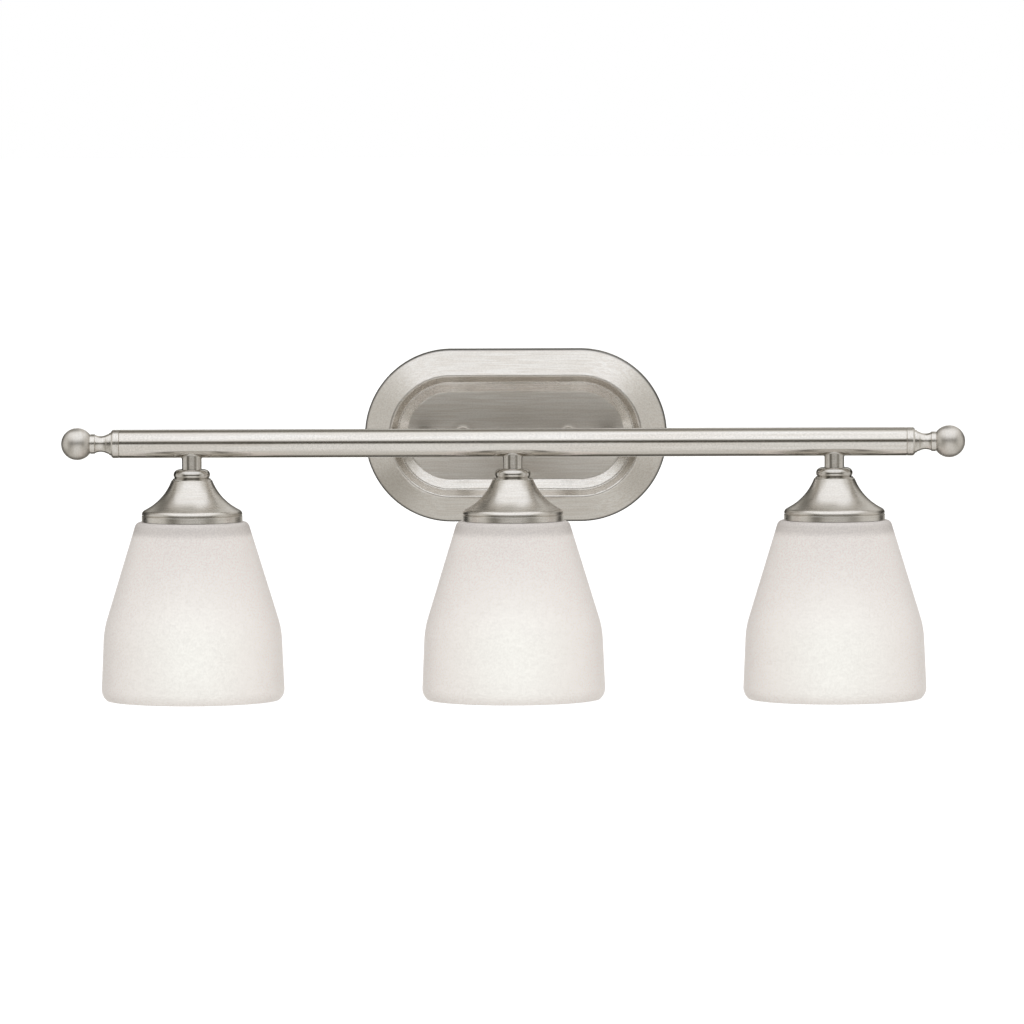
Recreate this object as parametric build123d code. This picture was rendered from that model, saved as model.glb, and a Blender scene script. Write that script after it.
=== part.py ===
from build123d import *
from math import copysign, cos, pi, radians, sin, sqrt
import os

# A three-light vanity bar, in millimetres. X runs along the bar, -Y points into the room and +Z is up.
# The origin is on the wall, at the centre of the backplate. A depth is a distance below the bar's axis,
# and a reach is a distance from the wall into the room.

os.makedirs("parts", exist_ok=True)

# Fits
BRAZE_GAP = 0.05  # between a coped tube end and the bar
THREAD_GAP = 0.05  # radial, between a thread and its nut
RUNNING_GAP = 0.08  # radial, between a thread and what is turned on it by hand
SEAT_GAP = 0.2  # between the shade and the ring that lifts it
SHADE_GAP = 0.3  # between the shade and its holder
LEAST_BEND = 0.2  # radius inside a sharp bend of a sheet

# Bar
BAR_LENGTH = 526.0
BAR_RADIUS = 19.05 / 2
BAR_WALL = 1.2
BAR_REACH = 110.0
BAR_OVERHANG = 48.2
WIRE_HOLE_RADIUS = 4.2

# Threaded pipe, shared by the arms and the stems
NIPPLE_RADIUS = 4.95
NIPPLE_BORE_RADIUS = 3.75
PIPE_NUT_ACROSS = 14.0

# Finials and the plugs that hold them
PLUG_LENGTH = 14.0
FINIAL_STUD_RADIUS = 3.0
FINIAL_STUD_LENGTH = 10.0
FINIAL_COLLAR = 4.4
FINIAL_SHOULDER_RADIUS = 8.6
FINIAL_SHOULDER = 1.1
FINIAL_BEAD_RADIUS = 7.9
FINIAL_LIP_RADIUS = 6.9
FINIAL_RING = 1.5
FINIAL_WAIST_RADIUS = 5.3
FINIAL_BAND_RADIUS = 6.6
FINIAL_BAND = 3.2
FINIAL_UNDERCUT = 0.35
FINIAL_EDGE = 0.5
FINIAL_BALL_RADIUS = 10.7
FINIAL_LENGTH = 39.2

# Backplate, from its spine outwards: floor, cove, shelf, ridge, bevel and wall
PLATE_WIDTH = 205.0
PLATE_HEIGHT = 117.4
PLATE_SHEET = 1.2
PLATE_WALL_REACH = 8.0
PLATE_FLOOR_REACH = 14.0
PLATE_SHELF_REACH = 17.7
PLATE_RIDGE_REACH = 25.5
PLATE_BEVEL_WIDTH = 17.8
PLATE_SLOPE_WIDTH = 4.2
PLATE_SHELF_WIDTH = 1.3
PLATE_SHELF_FALL = 0.3
PLATE_COVE_WIDTH = 5.6
PLATE_COVE_CURVE = 2.4
PLATE_SHELF_CURVE = 0.9
PLATE_FOLD = 1.5
PLATE_EDGE_CURVE = 3.2

# Arms
ARM_X = 62.5
ARM_RADIUS = 6.6
ARM_BORE_RADIUS = NIPPLE_RADIUS + THREAD_GAP
ARM_NIPPLE_GRIP = 12.0
ARM_NUT_HEIGHT = 4.0
ARM_NIPPLE_END = 0.5
ARM_WASHER_RADIUS = 8.6
ARM_WASHER_HEIGHT = 0.8

# Mounting plate, its studs and what is on them
MOUNT_SHEET = 2.0
MOUNT_WIDTH = 20.0
MOUNT_SPAN_X = 96.0
MOUNT_SPAN_Z = 104.0
MOUNT_CORNER = 5.0
BOX_SCREW_SPACING = 79.4
BOX_SLOT_LENGTH = 14.6
BOX_SLOT_WIDTH = 5.0
STUD_X = 35.7
STUD_RADIUS = 2.05
STUD_NUT_ACROSS = 8.0
STUD_NUT_HEIGHT = 3.2
STUD_PAST_WASHER = 7.5
STUD_HOLE_RADIUS = 2.7
STUD_WASHER_RADIUS = 5.6
STUD_WASHER_HEIGHT = 0.8
BALL_NUT_RADIUS = 7.0
BALL_NUT_LENGTH = 15.4
BALL_NUT_BASE_RADIUS = 5.0
BALL_NUT_NECK_RADIUS = 3.9
BALL_NUT_BASE = 1.6
BALL_NUT_BLIND = 1.0
GROUND_SCREW_X = 18.0
GROUND_SCREW_RADIUS = 1.9
GROUND_HEAD_RADIUS = 4.4
GROUND_HEAD_HEIGHT = 2.6
GROUND_SLOT_WIDTH = 1.0
GROUND_SLOT_DEPTH = 1.0

# Stem, collar and shade holder, by depth
STEM_RADIUS = 6.6
STEM_BORE_RADIUS = NIPPLE_RADIUS + THREAD_GAP
COLLAR_TOP = 17.2
COLLAR_TOP_RADIUS = 8.6
COLLAR_DOME_RADIUS = 12.1
COLLAR_DOME_DROP = 4.8
COLLAR_SHOULDER = 1.5
COLLAR_GROOVE_RADIUS = 11.6
COLLAR_FOOT_RADIUS = 12.8
COLLAR_FOOT = 0.6
HOLDER_TOP = 24.2
HOLDER_TOP_RADIUS = 13.4
HOLDER_BELL_RADIUS = 19.1
HOLDER_BELL_DEPTH = 37.4
HOLDER_BELL_CURVE = 36.0
HOLDER_SHOULDER = 45.5
HOLDER_RIM_RADIUS = 33.7
HOLDER_RIM = 52.0
HOLDER_SHEET = 1.0
HOLDER_FOLD = 1.1
HOLDER_RIM_CURVE = 3.4
HOLDER_GROOVE = 0.8
HOLDER_GROOVE_DROP = 2.4
HOLDER_NUT_HEIGHT = 3.0
NIPPLE_IN_SOCKET = 4.0
NIPPLE_IN_STEM = 5.6

# Glass shade, by depth from the holder's rim down
SHADE_WALL = 3.2
SHADE_HOLE_RADIUS = 21.0
SHADE_SHOULDER_RADIUS = 37.4
SHADE_SHOULDER_CURVE = 4.0
SHADE_KNEE_RADIUS = 59.4
SHADE_KNEE_DROP = 71.8
SHADE_KNEE_CURVE = 60.0
SHADE_WIDEST_RADIUS = 61.35
SHADE_LIP_DROP = 115.5
SHADE_LIP_CURVE = 9.0
SHADE_RIM_RADIUS = 57.4
SHADE_HEIGHT = 120.0
SHADE_EDGE_ROUND = 1.2

# Lamp socket
SOCKET_HUB_RADIUS = 8.5
SOCKET_HUB = 4.0
SOCKET_NECK_RADIUS = 16.6
SOCKET_NECK = 9.0
SOCKET_THREAD_RADIUS = 19.5
SOCKET_THREAD_TOP = 14.0
SOCKET_LENGTH = 42.0
SOCKET_CHAMBER_RADIUS = 12.6
SOCKET_CHAMBER = 8.3
SOCKET_CHAMBER_HEIGHT = 6.5
SOCKET_FLOOR = 3.0
SHELL_SHEET = 0.5
SHELL_SHORT = 1.5
SHELL_MOUTH_RADIUS = 8.2
RIVET_RADIUS = 1.2
SHELL_RIVET_X = 10.4
CONTACT_RIVET_X = -5.4
CONTACT_WIDTH = 4.0
CONTACT_SHEET = 0.5
CONTACT_BEND = 0.8
CONTACT_RISE = 2.2
CONTACT_GAP = 0.3

# Shade ring
RING_FLANGE_RADIUS = 25.4
RING_FLANGE = 2.4
RING_GRIP_RADIUS = 23.6
RING_HEIGHT = 8.4
RING_SCALLOPS = 12
RING_SCALLOP_RADIUS = 2.2

# Lamp
LAMP_BASE_RADIUS = 13.1
LAMP_BUTTON_RADIUS = 4.6
LAMP_BUTTON = 1.2
LAMP_INSULATOR = 3.2
LAMP_BASE = 21.0
LAMP_INSULATOR_RADIUS = 6.0
LAMP_BASE_EDGE = 0.9
LAMP_IN_BASE = 6.0
LAMP_NECK = 8.0
LAMP_SWELL = radians(28)
LAMP_GLOBE_RADIUS = 30.0
LAMP_LENGTH = 112.0
LAMP_GLASS = 1.1
LAMP_BASE_SHEET = 0.4

# Leads and wire connectors
LEAD_RADIUS = 1.0
LEAD_OFFSET = 1.4
LEAD_BEND = 4.2
LEAD_TIGHT_BEND = 3.0
LEAD_RISE = 2.8
LEAD_CEILING = 1.3
LEAD_REACH = 3.6
LEAD_LANE_Z = 12.6
LEAD_LANE_STEP = 2.6
LEAD_CLIMB = 6.0
LEAD_SPREAD = 2.2
CONNECTOR_X = 17.0
CONNECTOR_REACH = 7.0
CONNECTOR_MOUTH_RADIUS = 5.0
CONNECTOR_TIP_RADIUS = 3.6
CONNECTOR_BORE_RADIUS = 3.4
CONNECTOR_BORE = 12.0
CONNECTOR_LENGTH = 18.0
CONNECTOR_MOUTH_Z = 23.0

# Sizes that follow
LIGHT_SPACING = BAR_LENGTH / 2 - BAR_OVERHANG
BAR_BORE_RADIUS = BAR_RADIUS - BAR_WALL
PLATE_END_RADIUS = PLATE_HEIGHT / 2
PLATE_SPINE = PLATE_WIDTH / 2 - PLATE_END_RADIUS
PLATE_INNER_REACH = PLATE_FLOOR_REACH - PLATE_SHEET
NIPPLE_TOP = COLLAR_TOP - NIPPLE_IN_STEM
HOLDER_NUT_TOP = HOLDER_TOP + HOLDER_SHEET
SOCKET_TOP = HOLDER_NUT_TOP + HOLDER_NUT_HEIGHT
NIPPLE_BOTTOM = SOCKET_TOP + NIPPLE_IN_SOCKET
SOCKET_BOTTOM = SOCKET_TOP + SOCKET_LENGTH
CHAMBER_TOP = SOCKET_TOP + SOCKET_CHAMBER
CHAMBER_BOTTOM = CHAMBER_TOP + SOCKET_CHAMBER_HEIGHT
SOCKET_CAVITY_TOP = CHAMBER_BOTTOM + SOCKET_FLOOR
SHELL_BORE_RADIUS = LAMP_BASE_RADIUS + RUNNING_GAP
SHELL_RADIUS = SHELL_BORE_RADIUS + SHELL_SHEET
SOCKET_BORE_RADIUS = SHELL_RADIUS + THREAD_GAP
LAMP_TOP = SOCKET_CAVITY_TOP + CONTACT_RISE + CONTACT_SHEET + CONTACT_GAP
SHADE_TOP = HOLDER_RIM + SHADE_GAP
RING_TOP = SHADE_TOP + SHADE_WALL + SEAT_GAP
RING_BORE_RADIUS = SOCKET_THREAD_RADIUS + RUNNING_GAP

LIGHTS = {"left": -LIGHT_SPACING, "centre": 0.0, "right": LIGHT_SPACING}
SIDES = {"left": -1, "right": 1}
ARM_OF = {"left": -1, "centre": -1, "right": 1}
TOWARD_ARM = {"left": 1, "centre": -1, "right": -1}
SOCKET_TURN = {"left": 0, "centre": 180, "right": 180}
LEAD_MOUTH_OFFSET = {"left": -LEAD_SPREAD, "centre": 0, "right": LEAD_SPREAD}


def save(name, *solids):
    """Write one node, which may hold several separate solids."""
    pieces = [s for shape in solids for s in shape.solids()]
    node = pieces[0] if len(pieces) == 1 else Compound(children=pieces)
    export_step(node, f"parts/{name}.step")


def closed(*curves):
    """A flat face inside curves that meet end to end."""
    return make_face([e for c in curves for e in c.edges()])


def sheet(corners, radii, thickness):
    """The section of a bent sheet, from the corners and bend radii of one face.

    The other face lies on the right of the way from the first corner to the last, or on the left where
    the thickness is negative.
    """
    corners = [Vector(*corner) for corner in corners]
    ways = [(b - a).normalized() for a, b in zip(corners, corners[1:])]
    normals = [Vector(way.Y, -way.X) for way in ways]
    bends = list(zip(corners[1:], ways, ways[1:], normals, normals[1:]))
    other = [p + (m + n) * (thickness / (1 + m.dot(n))) for p, _, _, m, n in bends]
    turns = [copysign(thickness, v.cross(w).Z * thickness) for _, v, w, _, _ in bends]
    near = FilletPolyline(*corners, radius=radii)
    far = FilletPolyline(
        corners[0] + normals[0] * thickness, *other, corners[-1] + normals[-1] * thickness,
        radius=[max(r + turn, LEAST_BEND) for r, turn in zip(radii, turns)],
    )
    return closed(near, Line(near @ 1, far @ 1), far, Line(near @ 0, far @ 0))


def turned(section, x=0.0):
    """A solid turned about a light's upright axis; the section holds (radius, -depth)."""
    return Pos(x, -BAR_REACH, 0) * revolve(Plane.XZ * section, Axis.Z)


def forward(flat, x, z, reach, thickness):
    """A flat shape on a plane parallel to the wall, extruded towards the room."""
    return extrude(Plane((x, -reach, z), x_dir=(1, 0, 0), z_dir=(0, -1, 0)) * flat, thickness)


def ring(outer, inner):
    return Circle(outer) - Circle(inner)


def disc(radius, bore, top, bottom):
    """Half the section of a plain turned ring between two depths."""
    return Pos((radius + bore) / 2, -(top + bottom) / 2) * Rectangle(radius - bore, bottom - top)


def hexagon(across):
    return RegularPolygon(across / 2, 6, major_radius=False)


def bar_hull():
    """The space that a coped tube end leaves for the bar."""
    return Pos(0, -BAR_REACH, 0) * Rot(0, 90, 0) * Cylinder(BAR_RADIUS + BRAZE_GAP, 2 * BAR_LENGTH)


# ---------------------------------------------------------------- bar

def bar_tube():
    tube = Pos(-BAR_LENGTH / 2, 0, 0) * extrude(Plane.YZ * ring(BAR_RADIUS, BAR_BORE_RADIUS), BAR_LENGTH)
    down = Pos(0, 0, -BAR_RADIUS) * Cylinder(WIRE_HOLE_RADIUS, 2 * BAR_RADIUS)
    back = Pos(0, BAR_RADIUS, 0) * Rot(90, 0, 0) * Cylinder(WIRE_HOLE_RADIUS, 2 * BAR_RADIUS)
    for x in LIGHTS.values():
        tube -= Pos(x, 0, 0) * down
    for side in SIDES.values():
        tube -= Pos(side * ARM_X, 0, 0) * back
    return Pos(0, -BAR_REACH, 0) * tube


def end_plug(side):
    plug = extrude(ring(BAR_BORE_RADIUS - BRAZE_GAP, FINIAL_STUD_RADIUS + THREAD_GAP), PLUG_LENGTH)
    return Pos(side * BAR_LENGTH / 2, -BAR_REACH, 0) * Rot(0, -90 * side, 0) * plug


def finial(side):
    """A turned ball on a coved neck, with its own threaded stud."""
    ball = FINIAL_LENGTH - FINIAL_BALL_RADIUS
    groove = FINIAL_BAND_RADIUS - FINIAL_UNDERCUT
    ball_start = ball - sqrt(FINIAL_BALL_RADIUS**2 - groove**2)
    edge = FINIAL_EDGE
    shoulder = FINIAL_COLLAR + FINIAL_SHOULDER
    bead = shoulder + FINIAL_RING
    lip = bead + FINIAL_RING
    band_end = ball_start - FINIAL_UNDERCUT
    band = band_end - FINIAL_BAND
    outline = [
        Polyline(
            (ball + FINIAL_BALL_RADIUS, 0),
            (-FINIAL_STUD_LENGTH, 0), (-FINIAL_STUD_LENGTH, FINIAL_STUD_RADIUS),
            (0, FINIAL_STUD_RADIUS), (0, BAR_RADIUS - edge), (edge, BAR_RADIUS), (FINIAL_COLLAR, BAR_RADIUS),
            (shoulder, FINIAL_SHOULDER_RADIUS), (shoulder, FINIAL_BEAD_RADIUS),
            (bead, FINIAL_BEAD_RADIUS - edge), (bead, FINIAL_LIP_RADIUS), (lip, FINIAL_LIP_RADIUS - edge),
        ),
        ThreePointArc(
            (lip, FINIAL_LIP_RADIUS - edge), ((lip + band) / 2, FINIAL_WAIST_RADIUS),
            (band, FINIAL_BAND_RADIUS - edge),
        ),
        Polyline(
            (band, FINIAL_BAND_RADIUS - edge), (band + edge, FINIAL_BAND_RADIUS),
            (band_end, FINIAL_BAND_RADIUS), (band_end, groove), (ball_start, groove),
        ),
        ThreePointArc((ball_start, groove), (ball, FINIAL_BALL_RADIUS), (ball + FINIAL_BALL_RADIUS, 0)),
    ]
    solid = revolve(closed(*outline), Axis.X)
    return Pos(side * BAR_LENGTH / 2, -BAR_REACH, 0) * (solid if side > 0 else Rot(0, 0, 180) * solid)


# ---------------------------------------------------------------- backplate and arms

def plate_section():
    """The pressed sheet from the spine to the rim; x is the distance from the spine and y is -reach."""
    ridge = PLATE_END_RADIUS - PLATE_BEVEL_WIDTH
    shelf_out = ridge - PLATE_SLOPE_WIDTH
    shelf_in = shelf_out - PLATE_SHELF_WIDTH
    floor = shelf_in - PLATE_COVE_WIDTH
    corners = [
        (0, -PLATE_FLOOR_REACH), (floor, -PLATE_FLOOR_REACH),
        (shelf_in, -PLATE_SHELF_REACH + PLATE_SHELF_FALL),
        (shelf_out, -PLATE_SHELF_REACH), (ridge, -PLATE_RIDGE_REACH), (PLATE_END_RADIUS, -PLATE_WALL_REACH),
        (PLATE_END_RADIUS, 0),
    ]
    radii = [PLATE_COVE_CURVE, PLATE_FOLD, PLATE_SHELF_CURVE, PLATE_FOLD, PLATE_EDGE_CURVE]
    return sheet(corners, radii, -PLATE_SHEET)


def backplate():
    section = plate_section()
    right_end = split(revolve(section, Axis.Y), Plane.YZ, keep=Keep.TOP)
    upper = Pos(-PLATE_SPINE, 0, 0) * extrude(Rot(0, -90, 0) * section, 2 * PLATE_SPINE, dir=(1, 0, 0))
    pan = Pos(PLATE_SPINE, 0, 0) * right_end + Pos(-PLATE_SPINE, 0, 0) * mirror(right_end, Plane.YZ)
    pan = pan + upper + mirror(upper, Plane.XY)
    for side in SIDES.values():
        pan -= forward(Circle(NIPPLE_RADIUS + 2 * THREAD_GAP), side * ARM_X, 0, 0, PLATE_RIDGE_REACH)
        pan -= forward(Circle(STUD_HOLE_RADIUS), side * STUD_X, 0, 0, PLATE_RIDGE_REACH)
    return pan


def arm(side):
    length = BAR_REACH - PLATE_FLOOR_REACH
    return forward(ring(ARM_RADIUS, ARM_BORE_RADIUS), side * ARM_X, 0, PLATE_FLOOR_REACH, length) - bar_hull()


def arm_nipple(side):
    back = PLATE_INNER_REACH - ARM_WASHER_HEIGHT - ARM_NUT_HEIGHT - ARM_NIPPLE_END
    length = PLATE_FLOOR_REACH + ARM_NIPPLE_GRIP - back
    return forward(ring(NIPPLE_RADIUS, NIPPLE_BORE_RADIUS), side * ARM_X, 0, back, length)


def arm_washer(side):
    flat = ring(ARM_WASHER_RADIUS, NIPPLE_RADIUS + 2 * THREAD_GAP)
    return forward(flat, side * ARM_X, 0, PLATE_INNER_REACH - ARM_WASHER_HEIGHT, ARM_WASHER_HEIGHT)


def arm_nut(side):
    back = PLATE_INNER_REACH - ARM_WASHER_HEIGHT - ARM_NUT_HEIGHT
    flat = hexagon(PIPE_NUT_ACROSS) - Circle(NIPPLE_RADIUS + THREAD_GAP)
    return forward(flat, side * ARM_X, 0, back, ARM_NUT_HEIGHT)


# ---------------------------------------------------------------- mounting plate

def mounting_plate():
    """A pressed cross: the upright strap takes the box screws and the level one takes the studs."""
    level = RectangleRounded(MOUNT_SPAN_X, MOUNT_WIDTH, MOUNT_CORNER)
    upright = RectangleRounded(MOUNT_WIDTH, MOUNT_SPAN_Z, MOUNT_CORNER)
    slot = Rot(0, 0, 90) * SlotOverall(BOX_SLOT_LENGTH, BOX_SLOT_WIDTH)
    flat = level + upright
    for side in SIDES.values():
        flat -= Pos(0, side * BOX_SCREW_SPACING / 2) * slot
        flat -= Pos(side * STUD_X, 0) * Circle(STUD_RADIUS + THREAD_GAP)
    flat -= Pos(GROUND_SCREW_X, 0) * Circle(GROUND_SCREW_RADIUS + THREAD_GAP)
    return forward(flat, 0, 0, 0, MOUNT_SHEET)


def mounting_stud(side):
    length = PLATE_FLOOR_REACH + STUD_WASHER_HEIGHT + STUD_PAST_WASHER
    return forward(Circle(STUD_RADIUS), side * STUD_X, 0, 0, length)


def stud_nut(side):
    flat = hexagon(STUD_NUT_ACROSS) - Circle(STUD_RADIUS + THREAD_GAP)
    return forward(flat, side * STUD_X, 0, MOUNT_SHEET, STUD_NUT_HEIGHT)


def stud_washer(side):
    flat = ring(STUD_WASHER_RADIUS, STUD_HOLE_RADIUS)
    return forward(flat, side * STUD_X, 0, PLATE_FLOOR_REACH, STUD_WASHER_HEIGHT)


def ball_nut(side):
    ball = BALL_NUT_LENGTH - BALL_NUT_RADIUS
    ball_start = ball - sqrt(BALL_NUT_RADIUS**2 - BALL_NUT_NECK_RADIUS**2)
    bore = STUD_RADIUS + RUNNING_GAP
    bore_end = STUD_PAST_WASHER + BALL_NUT_BLIND
    outline = [
        Polyline(
            (0, -BALL_NUT_LENGTH), (0, -bore_end), (bore, -bore_end), (bore, 0), (BALL_NUT_BASE_RADIUS, 0),
            (BALL_NUT_BASE_RADIUS, -BALL_NUT_BASE), (BALL_NUT_NECK_RADIUS, -BALL_NUT_BASE),
            (BALL_NUT_NECK_RADIUS, -ball_start),
        ),
        ThreePointArc((BALL_NUT_NECK_RADIUS, -ball_start), (BALL_NUT_RADIUS, -ball), (0, -BALL_NUT_LENGTH)),
    ]
    place = Pos(side * STUD_X, -PLATE_FLOOR_REACH - STUD_WASHER_HEIGHT, 0)
    return place * revolve(closed(*outline), Axis.Y)


def ground_screw():
    head = forward(Circle(GROUND_HEAD_RADIUS), GROUND_SCREW_X, 0, MOUNT_SHEET, GROUND_HEAD_HEIGHT)
    head = fillet(head.faces().sort_by(Axis.Y)[0].edges(), GROUND_HEAD_HEIGHT / 3)
    slot = Rectangle(3 * GROUND_HEAD_RADIUS, GROUND_SLOT_WIDTH)
    slot_reach = MOUNT_SHEET + GROUND_HEAD_HEIGHT - GROUND_SLOT_DEPTH
    head -= forward(slot, GROUND_SCREW_X, 0, slot_reach, GROUND_HEAD_HEIGHT)
    return head + forward(Circle(GROUND_SCREW_RADIUS), GROUND_SCREW_X, 0, 0, MOUNT_SHEET)


# ---------------------------------------------------------------- stem, collar and shade holder

def stem(x):
    tube = extrude(ring(STEM_RADIUS, STEM_BORE_RADIUS), -COLLAR_TOP)
    return Pos(x, -BAR_REACH, 0) * tube - bar_hull()


def stem_nipple(x):
    return turned(disc(NIPPLE_RADIUS, NIPPLE_BORE_RADIUS, NIPPLE_TOP, NIPPLE_BOTTOM), x)


def holder_nut(x):
    nut = extrude(hexagon(PIPE_NUT_ACROSS) - Circle(NIPPLE_RADIUS + THREAD_GAP), -HOLDER_NUT_HEIGHT)
    return Pos(x, -BAR_REACH, -HOLDER_NUT_TOP) * nut


def collar(x):
    """A turned dome over a groove and a thin foot."""
    bore = NIPPLE_RADIUS + THREAD_GAP
    foot_top = HOLDER_TOP - COLLAR_FOOT
    groove = foot_top - COLLAR_FOOT
    top = (COLLAR_TOP_RADIUS, -COLLAR_TOP)
    shoulder = (COLLAR_DOME_RADIUS - COLLAR_FOOT, -COLLAR_TOP - COLLAR_SHOULDER)
    dome_end = (COLLAR_DOME_RADIUS, -COLLAR_TOP - COLLAR_DOME_DROP)
    outline = [
        ThreePointArc(top, shoulder, dome_end),
        Polyline(
            dome_end, (COLLAR_GROOVE_RADIUS, -groove), (COLLAR_FOOT_RADIUS, -foot_top),
            (COLLAR_FOOT_RADIUS, -HOLDER_TOP), (bore, -HOLDER_TOP), (bore, -COLLAR_TOP), top,
        ),
    ]
    return turned(closed(*outline), x)


def shade_holder(x):
    """A spun bell with a straight rim, of one sheet, with a groove rolled over the rim."""
    corners = [
        (NIPPLE_RADIUS + 2 * THREAD_GAP, -HOLDER_TOP), (HOLDER_TOP_RADIUS, -HOLDER_TOP),
        (HOLDER_BELL_RADIUS, -HOLDER_BELL_DEPTH), (HOLDER_RIM_RADIUS, -HOLDER_SHOULDER),
        (HOLDER_RIM_RADIUS, -HOLDER_RIM),
    ]
    bell = sheet(corners, [HOLDER_FOLD, HOLDER_BELL_CURVE, HOLDER_RIM_CURVE], HOLDER_SHEET)
    groove_depth = HOLDER_SHOULDER + HOLDER_GROOVE_DROP
    groove = Pos(HOLDER_RIM_RADIUS, -groove_depth) * Rot(0, 0, 45) * Rectangle(HOLDER_GROOVE, HOLDER_GROOVE)
    return turned(bell, x) - turned(groove, x)


# ---------------------------------------------------------------- shade and ring

def glass_shade(x):
    """Flat top with a hole, tapered body, soft knee, near-upright wall and a lip that turns in."""
    corners = [
        (SHADE_HOLE_RADIUS, -SHADE_TOP), (SHADE_SHOULDER_RADIUS, -SHADE_TOP),
        (SHADE_KNEE_RADIUS, -SHADE_TOP - SHADE_KNEE_DROP), (SHADE_WIDEST_RADIUS, -SHADE_TOP - SHADE_LIP_DROP),
        (SHADE_RIM_RADIUS, -SHADE_TOP - SHADE_HEIGHT),
    ]
    shade = turned(sheet(corners, [SHADE_SHOULDER_CURVE, SHADE_KNEE_CURVE, SHADE_LIP_CURVE], SHADE_WALL), x)
    rim = shade.edges().group_by(Axis.Z)[:2]
    return fillet([e for level in rim for e in level], SHADE_EDGE_ROUND)


def shade_ring(x):
    bottom = RING_TOP + RING_HEIGHT
    flange = disc(RING_FLANGE_RADIUS, RING_BORE_RADIUS, RING_TOP, RING_TOP + RING_FLANGE)
    grip = disc(RING_GRIP_RADIUS, RING_BORE_RADIUS, RING_TOP + RING_FLANGE, bottom)
    solid = turned(flange + grip)
    scallop = Pos(RING_GRIP_RADIUS + RING_SCALLOP_RADIUS / 2, 0) * Circle(RING_SCALLOP_RADIUS)
    scallops = Sketch() + [Rot(0, 0, 360 / RING_SCALLOPS * n) * scallop for n in range(RING_SCALLOPS)]
    notch = Pos(0, -BAR_REACH, -(RING_TOP + RING_FLANGE)) * extrude(scallops, -RING_HEIGHT)
    return Pos(x, 0, 0) * (solid - notch)


# ---------------------------------------------------------------- lamp socket

def socket(x, turn):
    """The insulating body: hub, neck and outer thread, with a chamber for the leads over the cavity."""
    neck = SOCKET_TOP + SOCKET_NECK
    thread = SOCKET_TOP + SOCKET_THREAD_TOP
    hub = SOCKET_TOP + SOCKET_HUB
    nipple_bore = NIPPLE_RADIUS + THREAD_GAP
    outline = Polyline(
        (nipple_bore, -SOCKET_TOP), (SOCKET_HUB_RADIUS, -SOCKET_TOP), (SOCKET_HUB_RADIUS, -hub),
        (SOCKET_NECK_RADIUS, -neck), (SOCKET_NECK_RADIUS, -thread), (SOCKET_THREAD_RADIUS, -thread),
        (SOCKET_THREAD_RADIUS, -SOCKET_BOTTOM), (SOCKET_BORE_RADIUS, -SOCKET_BOTTOM),
        (SOCKET_BORE_RADIUS, -SOCKET_CAVITY_TOP), (0, -SOCKET_CAVITY_TOP), (0, -CHAMBER_BOTTOM),
        (SOCKET_CHAMBER_RADIUS, -CHAMBER_BOTTOM), (SOCKET_CHAMBER_RADIUS, -CHAMBER_TOP),
        (NIPPLE_BORE_RADIUS, -CHAMBER_TOP), (NIPPLE_BORE_RADIUS, -NIPPLE_BOTTOM),
        (nipple_bore, -NIPPLE_BOTTOM),
        close=True,
    )
    body = turned(closed(outline))
    hole = extrude(Circle(RIVET_RADIUS + THREAD_GAP), -SOCKET_FLOOR)
    for at in (SHELL_RIVET_X, CONTACT_RIVET_X):
        body -= Pos(at, -BAR_REACH, -CHAMBER_BOTTOM) * hole
    return facing(body, x, turn)


def facing(solid, x, turn):
    """A socket piece, made at x = 0, turned about its upright axis and moved to its light."""
    return Pos(x, -BAR_REACH, 0) * Rot(0, 0, turn) * Pos(0, BAR_REACH, 0) * solid


def rivet(at):
    """A rivet through the socket's floor, flush with the chamber."""
    return Pos(at, -BAR_REACH, -SOCKET_CAVITY_TOP) * extrude(Circle(RIVET_RADIUS), SOCKET_FLOOR)


def socket_shell(x, turn):
    top = disc(SHELL_RADIUS, SHELL_MOUTH_RADIUS, SOCKET_CAVITY_TOP, SOCKET_CAVITY_TOP + SHELL_SHEET)
    wall = disc(SHELL_RADIUS, SHELL_BORE_RADIUS, SOCKET_CAVITY_TOP, SOCKET_BOTTOM - SHELL_SHORT)
    return facing(turned(top + wall) + rivet(SHELL_RIVET_X), x, turn)


def socket_contact(x, turn):
    """A sprung leaf, riveted at one end, that bears on the lamp's button."""
    floor = -SOCKET_CAVITY_TOP
    tip = floor - CONTACT_RISE
    corners = [
        (CONTACT_RIVET_X - RIVET_RADIUS, floor), (CONTACT_RIVET_X + RIVET_RADIUS, floor),
        (-RIVET_RADIUS, tip), (2 * RIVET_RADIUS, tip),
    ]
    leaf = sheet(corners, 2 * [CONTACT_BEND], CONTACT_SHEET)
    strip = extrude(Plane.XZ * leaf, CONTACT_WIDTH / 2, both=True)
    return facing(Pos(0, -BAR_REACH, 0) * strip + rivet(CONTACT_RIVET_X), x, turn)


# ---------------------------------------------------------------- lamp

def lamp_contact(x):
    return turned(disc(LAMP_BUTTON_RADIUS, 0, LAMP_TOP, LAMP_TOP + LAMP_BUTTON), x)


def lamp_base(x):
    """The screw base and the insulator over it, open below for the glass."""
    top = LAMP_TOP + LAMP_BUTTON
    shoulder = top + LAMP_INSULATOR
    bottom = shoulder + LAMP_BASE
    inner = LAMP_BASE_RADIUS - LAMP_BASE_SHEET
    outline = Polyline(
        (0, -top), (LAMP_INSULATOR_RADIUS, -top), (LAMP_BASE_RADIUS - LAMP_BASE_EDGE, -shoulder),
        (LAMP_BASE_RADIUS, -shoulder - LAMP_BASE_EDGE), (LAMP_BASE_RADIUS, -bottom), (inner, -bottom),
        (inner, -shoulder - LAMP_BASE_EDGE), (0, -shoulder - LAMP_BASE_EDGE),
        close=True,
    )
    return turned(closed(outline), x)


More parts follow.
